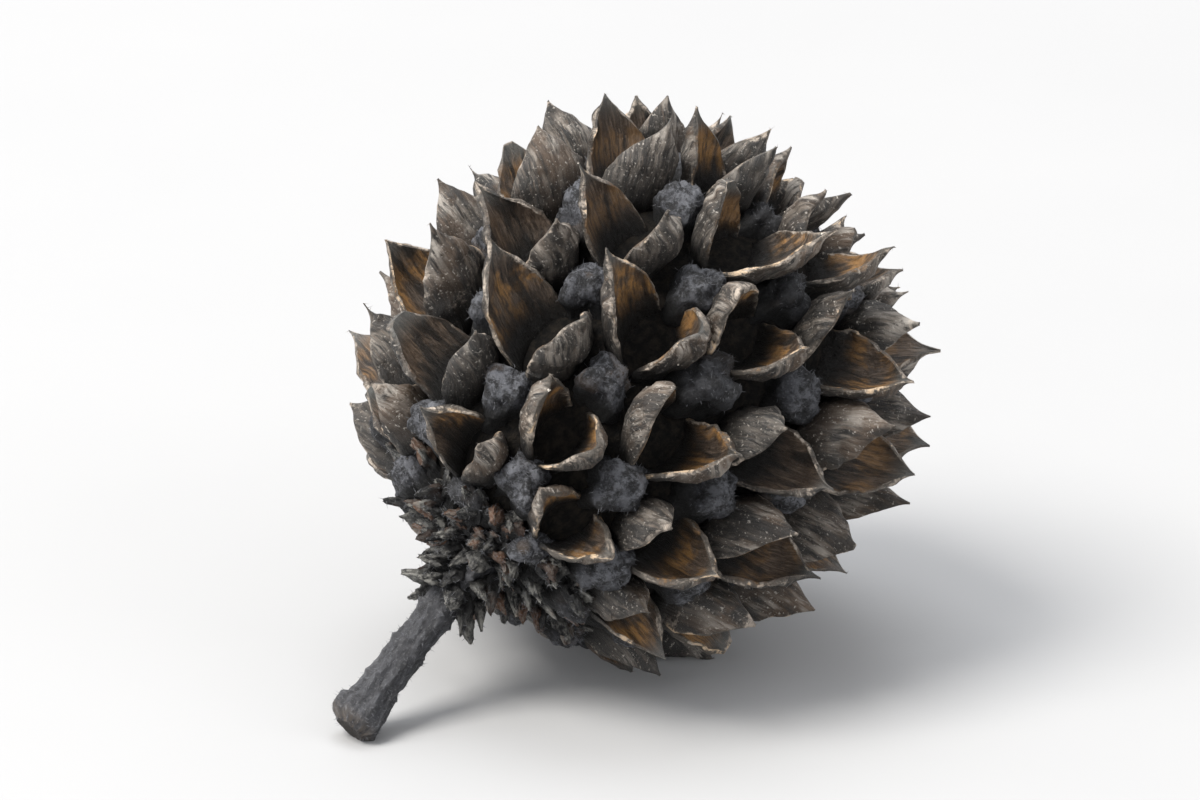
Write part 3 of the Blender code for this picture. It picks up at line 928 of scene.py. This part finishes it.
class Nodes:
    """Short calls for building one material's node tree."""

    def __init__(self, name, specular):
        self.material = bpy.data.materials.new(name)
        self.material.use_nodes = True
        self.tree = self.material.node_tree
        self.shader = self.tree.nodes["Principled BSDF"]
        self.feed(self.shader.inputs["Specular IOR Level"], specular)

    def feed(self, socket, value):
        """Links another node's socket to this one, or sets it."""
        if isinstance(value, bpy.types.NodeSocket):
            self.tree.links.new(value, socket)
        else:
            socket.default_value = value

    def add(self, kind, inputs, **settings):
        """Outputs of a new node with these settings and these values or sockets on its inputs."""
        node = self.tree.nodes.new("ShaderNode" + kind)
        for setting, value in settings.items():
            setattr(node, setting, value)
        for place, value in inputs.items():
            self.feed(node.inputs[place], value)
        return node.outputs

    def fact(self, name):
        return self.add("Attribute", {}, attribute_name=name)["Fac"]

    def grain(self, across, along, deep=1.0):
        """Place on the piece in millimetres, stretched across, along and through its grain."""
        place = self.add("Attribute", {}, attribute_name="grain")["Vector"]
        stretch = {0: place, 1: (across, along, deep)}
        return self.add("VectorMath", stretch, operation="MULTIPLY")["Vector"]

    def noise(self, vector, scale=1.0, detail=3.0, roughness=0.6):
        inputs = {"Vector": vector, "Scale": scale, "Detail": detail, "Roughness": roughness}
        return self.add("TexNoise", inputs)["Fac"]

    def between(self, value, low, high, to_low=0.0, to_high=1.0):
        """The value's smooth share of the way from low to high, spread over the target range."""
        inputs = {"Value": value, "From Min": low, "From Max": high, "To Min": to_low, "To Max": to_high}
        return self.add("MapRange", inputs, interpolation_type="SMOOTHSTEP")["Result"]

    def spread(self, field, lowest, highest):
        """A noise field's usual range spread from lowest to highest."""
        return self.between(field, 0.3, 0.7, lowest, highest)

    def both(self, first, second):
        """Product of two shares, so full only where both are."""
        return self.add("Math", {0: first, 1: second}, operation="MULTIPLY")[0]

    def plus(self, first, second):
        return self.add("Math", {0: first, 1: second}, operation="ADD")[0]

    def blend(self, share, first, second):
        """Colour between two colours, each a socket or three numbers."""
        inputs = {0: share, 6: first, 7: second}
        for place in (6, 7):
            if not isinstance(inputs[place], bpy.types.NodeSocket):
                inputs[place] = (*inputs[place], 1)
        return self.add("Mix", inputs, data_type="RGBA")[2]

    def over(self, colour, coat, field, low, high, most=1.0):
        """The colour under a coat that grows from none to most as the field goes from low to high."""
        return self.blend(self.between(field, low, high, 0, most), colour, coat)

    def bump(self, height, distance, below=None):
        """Bumps this deep, on top of the bumps below."""
        under = {"Normal": below} if below else {}
        inputs = {"Height": height, "Distance": distance, "Strength": 1.0, **under}
        return self.add("Bump", inputs)["Normal"]

    def finish(self, colour, roughness, normal):
        """The material, with what varies over the surface fed to its shader."""
        for socket, value in (("Base Color", colour), ("Roughness", roughness), ("Normal", normal)):
            self.feed(self.shader.inputs[socket], value)
        return self.material


def valve_fields(nodes):
    """What varies over a valve: the facts kept at its points, and noise from coarse to fine."""
    return SimpleNamespace(
        own=nodes.fact("own"),
        height=nodes.fact("height"),
        inside=nodes.fact("inner"),
        edge=nodes.fact("edge"),
        blotches=nodes.noise(nodes.grain(0.7, 0.5), detail=4),
        wear=nodes.noise(nodes.grain(0.8, 0.8), detail=4),
        bands=nodes.noise(nodes.grain(1.7, 0.3)),
        chips=nodes.noise(nodes.grain(4.5, 4.5), detail=4, roughness=0.7),
        streaks=nodes.noise(nodes.grain(5.0, 0.6), detail=6, roughness=0.72),
        fine=nodes.noise(nodes.grain(10.0, 7.0), detail=4, roughness=0.7),
        threads=nodes.noise(nodes.grain(14.0, 1.5)),
    )


def valve_outer_colour(nodes, valve):
    """Charcoal with ash streaks, browner on some valves, darkened near the root by painted shade, and pale
    at the tip, partly frosting and partly painted highlight.
    """
    charcoal, ash, speck_and_painted_highlight = (0.012, 0.0105, 0.009), (0.195, 0.168, 0.140), (0.38, 0.35, 0.31)
    umber = (0.066, 0.042, 0.025)
    colour = nodes.over(charcoal, ash, valve.streaks, 0.41, 0.60)
    tinted = nodes.both(nodes.between(valve.own, 0.15, 0.7), nodes.between(valve.blotches, 0.42, 0.56))
    colour = nodes.blend(tinted, colour, umber)
    colour = nodes.over(colour, TAUPE, valve.threads, 0.52, 0.68, 0.6)
    colour = nodes.over(colour, charcoal, valve.bands, 0.52, 0.38, 0.85)
    colour = nodes.over(colour, charcoal, valve.own, 0.35, 0.0, 0.6)
    # Painted shade: darker towards the root, deep between the valves
    colour = nodes.over(colour, charcoal, valve.height, 0.75, 0.25, 0.7)
    # Pale patches towards the tip: partly frosting, partly painted highlight
    upper = nodes.between(valve.height, 0.35, 0.9, 0, 0.65)
    frost_and_painted_highlight = nodes.both(upper, nodes.between(valve.bands, 0.48, 0.62))
    frost_and_painted_highlight = nodes.both(frost_and_painted_highlight, nodes.between(valve.streaks, 0.42, 0.56))
    colour = nodes.blend(frost_and_painted_highlight, colour, speck_and_painted_highlight)
    return nodes.over(colour, speck_and_painted_highlight, valve.fine, 0.58, 0.68, 0.85)


def valve_inner_colour(nodes, valve):
    """Brown with taupe threads, ochre on some valves, olive at the tip, and painted shade that turns it
    black deep inside towards the root.
    """
    brown, ochre, olive = (0.054, 0.037, 0.025), (0.320, 0.170, 0.058), (0.100, 0.102, 0.096)
    colour = nodes.over(brown, TAUPE, valve.threads, 0.42, 0.62)
    warm = nodes.both(nodes.between(valve.own, 0.15, 0.5), nodes.between(valve.blotches, 0.42, 0.56))
    warm = nodes.both(warm, nodes.between(valve.height, 0.9, 0.55))
    colour = nodes.blend(warm, colour, ochre)
    colour = nodes.over(colour, brown, valve.streaks, 0.47, 0.60, 0.85)
    colour = nodes.over(colour, VALVE_GRAIN_AND_PAINTED_SHADE, valve.bands, 0.50, 0.38, 0.8)
    colour = nodes.over(colour, olive, valve.height, 0.65, 1.0, 0.85)
    # Painted shade: black deep inside the hollow, towards the root
    return nodes.over(VALVE_GRAIN_AND_PAINTED_SHADE, colour, valve.height, 0.1, 0.5)


def with_worn_rim(nodes, valve, face):
    """The face's colour with a rim that is dark, cream or peach where it is bare."""
    rim_dark, rim_cream, peach = (0.066, 0.056, 0.045), (0.385, 0.327, 0.270), (0.560, 0.415, 0.272)
    band = nodes.plus(valve.edge, nodes.between(valve.wear, 0.36, 0.64, -0.4, 0.2))
    band = nodes.plus(band, nodes.between(valve.chips, 0.35, 0.65, -0.3, 0.15))
    band = nodes.plus(band, nodes.between(valve.own, 0.0, 0.9, -0.2, 0.1))
    band = nodes.plus(band, nodes.between(valve.own, 0.82, 0.94, 0.0, 0.35))
    pale = nodes.both(nodes.between(valve.wear, 0.49, 0.62), nodes.between(valve.chips, 0.36, 0.58))
    face = nodes.blend(nodes.between(band, 0.5, 1.0), face, nodes.blend(pale, rim_dark, rim_cream))
    worn = nodes.both(nodes.between(band, 0.85, 1.2), nodes.between(valve.blotches, 0.55, 0.60))
    return nodes.blend(worn, face, peach)


def valve_material():
    """Charcoal fibrous outside, brown satin inside, worn rims of uneven paleness, and painted shade
    towards the root.
    """
    nodes = Nodes("valve_wood", specular=0.5)
    valve = valve_fields(nodes)
    outer = valve_outer_colour(nodes, valve)
    inner = valve_inner_colour(nodes, valve)
    face = with_worn_rim(nodes, valve, nodes.blend(valve.inside, outer, inner))
    # Painted shade: faces and rims darken to black towards the root, deep between the valves
    colour = nodes.over(VALVE_GRAIN_AND_PAINTED_SHADE, face, valve.height, 0.0, 0.35)
    satin = nodes.between(valve.inside, 0.0, 1.0, 0.5, 0.38)
    roughness = nodes.plus(satin, nodes.spread(valve.fine, 0, 0.25))
    normal = nodes.bump(valve.bands, 0.4 * MM)
    normal = nodes.bump(valve.streaks, 0.24 * MM, below=normal)
    normal = nodes.bump(valve.threads, 0.07 * MM, below=normal)
    normal = nodes.bump(valve.fine, 0.06 * MM, below=normal)
    return nodes.finish(colour, roughness, normal)


def felt_material(name, slate, felt, stain, stain_level):
    """Felted and mottled grey with paler tips, painted shade that blackens the base, and stains where
    their noise is above this level.
    """
    # shade is the dark of the mottling; root is the black of the painted shade at the base
    shade, root = (0.013, 0.013, 0.014), (0.003, 0.003, 0.003)
    nodes = Nodes(name, specular=0.35)
    height = nodes.fact("height")
    lumps = nodes.noise(nodes.grain(2.0, 2.0, 1.4), detail=6, roughness=0.72)
    fine = nodes.noise(nodes.grain(6.5, 6.5, 4.5), detail=5, roughness=0.75)
    stains = nodes.noise(nodes.grain(0.35, 0.35, 0.35), detail=2)
    own = nodes.fact("own")
    colour = nodes.over(shade, slate, lumps, 0.40, 0.62)
    stained = nodes.between(stains, stain_level, stain_level + 0.06, 0, 0.85)
    colour = nodes.blend(stained, colour, stain)
    colour = nodes.over(colour, felt, fine, 0.52, 0.70, 0.6)
    tip = nodes.both(nodes.fact("edge"), nodes.between(lumps, 0.45, 0.6, 0, 0.5))
    colour = nodes.blend(tip, colour, felt)
    colour = nodes.over(colour, shade, own, 0.6, 0.0, 0.75)
    # Painted shade: black at the base of each bract, where it meets the core
    colour = nodes.over(root, colour, height, 0.05, 0.6)
    normal = nodes.bump(lumps, 0.28 * MM)
    normal = nodes.bump(fine, 0.11 * MM, below=normal)
    return nodes.finish(colour, nodes.spread(fine, 0.85, 0.55), normal)


def stalk_material():
    """Bluish grey bark with fine ridges, a little pale dust on them and a browner end."""
    shade, slate = (0.022, 0.022, 0.024), (0.058, 0.059, 0.065)
    dust, bare = (0.145, 0.145, 0.150), (0.080, 0.062, 0.046)
    nodes = Nodes("stalk_bark", specular=0.4)
    streaks = nodes.noise(nodes.grain(3.5, 1.2), detail=6, roughness=0.75)
    fine = nodes.noise(nodes.grain(8.0, 6.0), detail=4, roughness=0.75)
    colour = nodes.over(shade, slate, streaks, 0.38, 0.62)
    broken = nodes.between(nodes.fact("height"), 0.93, 1.0, 0, 0.9)
    colour = nodes.blend(nodes.both(broken, nodes.between(streaks, 0.4, 0.6)), colour, bare)
    colour = nodes.over(colour, dust, fine, 0.54, 0.68, 0.6)
    colour = nodes.blend(nodes.both(nodes.fact("edge"), 0.25), colour, dust)
    normal = nodes.bump(streaks, 0.20 * MM)
    normal = nodes.bump(fine, 0.10 * MM, below=normal)
    return nodes.finish(colour, nodes.spread(fine, 0.8, 0.55), normal)


def core_material():
    """Near-black wood deep between the valves."""
    black, brown = (0.002, 0.0018, 0.0016), (0.012, 0.009, 0.006)
    nodes = Nodes("core_wood", specular=0.2)
    lumps = nodes.noise(nodes.grain(2.0, 2.0), detail=5, roughness=0.7)
    colour = nodes.over(black, brown, lumps, 0.4, 0.7)
    return nodes.finish(colour, nodes.spread(lumps, 0.95, 0.8), nodes.bump(lumps, 0.2 * MM))


def hair_material(name, dark, pale):
    """Dull hairs, darker at the root than at the tip."""
    nodes = Nodes(name, specular=0.2)
    tone = nodes.noise(nodes.grain(3.0, 3.0), detail=2)
    colour = nodes.blend(nodes.both(nodes.fact("edge"), tone), dark, pale)
    return nodes.finish(colour, nodes.spread(tone, 0.7, 0.9), nodes.bump(tone, 0.01 * MM))


def crumb_material():
    """Pale crumbs of broken rim and dust."""
    tan, cream = (0.38, 0.31, 0.23), (0.88, 0.84, 0.76)
    nodes = Nodes("crumbs", specular=0.4)
    tone = nodes.noise(nodes.grain(9.0, 9.0))
    colour = nodes.over(tan, cream, tone, 0.4, 0.6)
    return nodes.finish(colour, nodes.spread(tone, 0.5, 0.8), nodes.bump(tone, 0.03 * MM))


def floor_material():
    """Plain pale paper with the least unevenness."""
    dim, bright = (0.326, 0.327, 0.329), (0.342, 0.342, 0.343)
    nodes = Nodes("floor_paper", specular=0.2)
    place = nodes.add("TexCoord", {})["Object"]
    clouds = nodes.noise(place, scale=40)
    colour = nodes.blend(clouds, dim, bright)
    return nodes.finish(colour, nodes.spread(clouds, 0.75, 0.85), nodes.bump(clouds, 0.01 * MM))


def add_floor():
    """Wide level square at the height the cone rests on."""
    half = FLOOR_SIDE / 2
    mesh = bpy.data.meshes.new("floor")
    corners = [(-half, -half, 0), (half, -half, 0), (half, half, 0), (-half, half, 0)]
    mesh.from_pydata(corners, [], [(0, 1, 2, 3)])
    mesh.materials.append(floor_material())
    new_object("floor", mesh)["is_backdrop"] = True


def aim(item, azimuth, elevation, distance):
    """Puts a camera or light this far from the middle of the cone, and faces it."""
    level = Vector((-math.sin(azimuth), -math.cos(azimuth), 0)) * math.cos(elevation)
    away = level + Vector((0, 0, math.sin(elevation)))
    item.location = VIEW_TARGET + away * distance
    item.rotation_euler = (-away).to_track_quat("-Z", "Y").to_euler()


def add_camera():
    """Long lens that looks at the middle of the cone."""
    data = bpy.data.cameras.new("camera")
    data.lens = LENS
    data.clip_start = NEAREST_SEEN
    camera = new_object("camera", data)
    aim(camera, VIEW_AZIMUTH, VIEW_ELEVATION, VIEW_DISTANCE)
    bpy.context.scene.camera = camera


def add_light(name, turn, elevation, side, power, colour):
    """Square soft box that faces the cone, turned clockwise from the camera's side, in degrees."""
    data = bpy.data.lights.new(name, "AREA")
    data.size = side
    data.energy = power
    data.color = colour
    azimuth = VIEW_AZIMUTH + math.radians(turn)
    aim(new_object(name, data), azimuth, math.radians(elevation), LIGHT_DISTANCE)


def add_lights():
    """Strong soft box high on the left, one overhead, weak ones at both sides, and a pale room."""
    add_light("key", 65, 56, 0.5, 19.0, (1.0, 0.97, 0.925))
    add_light("top", 165, 76, 0.6, 7.0, (0.95, 0.97, 1.0))
    add_light("fill", -60, 30, 0.6, 2.0, (0.93, 0.96, 1.0))
    add_light("low", 75, 12, 0.4, 4.5, (0.97, 0.98, 1.0))
    world = bpy.data.worlds.new("room")
    world.use_nodes = True
    room = world.node_tree.nodes["Background"]
    room.inputs["Color"].default_value = ROOM_COLOUR
    room.inputs["Strength"].default_value = ROOM_STRENGTH
    bpy.context.scene.world = world
    bpy.context.scene.view_settings.view_transform = "Standard"


def build_cone():
    """All pieces of the cone, in the order of the solid's draws."""
    draw = random.Random(SEED)
    detail = random.Random(DETAIL_SEED)
    upper, lower, bracts, barren, stalk, core, felt, down, crumbs = (Skin() for _ in range(9))
    grow_valves((upper, lower), draw, detail)
    grow_bracts(bracts, draw, detail)
    grow_barren_bracts(barren, draw, detail)
    grow_apex_star(barren, draw, detail)
    grow_stalk(stalk)
    grow_core(core)
    valve_wood = valve_material()
    knob_felt = felt_material("knob_felt", *KNOB_FELT)
    scale_felt = felt_material("scale_felt", *SMALL_BRACT_FELT)
    apex_valves = upper.piece("valves_apex_half", valve_wood)
    stalk_valves = lower.piece("valves_stalk_half", valve_wood)
    knobs = bracts.piece("bracts", knob_felt)
    small_bracts = barren.piece("barren_bracts", scale_felt)
    bark = stalk.piece("stalk", stalk_material())
    core.piece("core", core_material())
    hairy = ((knobs, BRACT_HAIR_SHARE), (small_bracts, BARREN_HAIR_SHARE), (bark, STALK_HAIR_SHARE))
    for piece, share in hairy:
        grow_fuzz(felt, piece, detail, share, FELT_HAIRS)
    felt.piece("felt_hairs", hair_material("grey_hair", *GREY_HAIR))
    for piece in (apex_valves, stalk_valves):
        grow_fuzz(down, piece, detail, VALVE_HAIR_SHARE, VALVE_HAIRS)
        grow_crumbs(crumbs, piece, detail)
    down.piece("valve_hairs", hair_material("brown_hair", *BROWN_HAIR))
    crumbs.piece("crumbs", crumb_material())


build_cone()
add_floor()
add_camera()
add_lights()

boxes = {"cad": cad_box, "visual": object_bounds()}
{name: [list(corner) for corner in box] for name, box in boxes.items()}
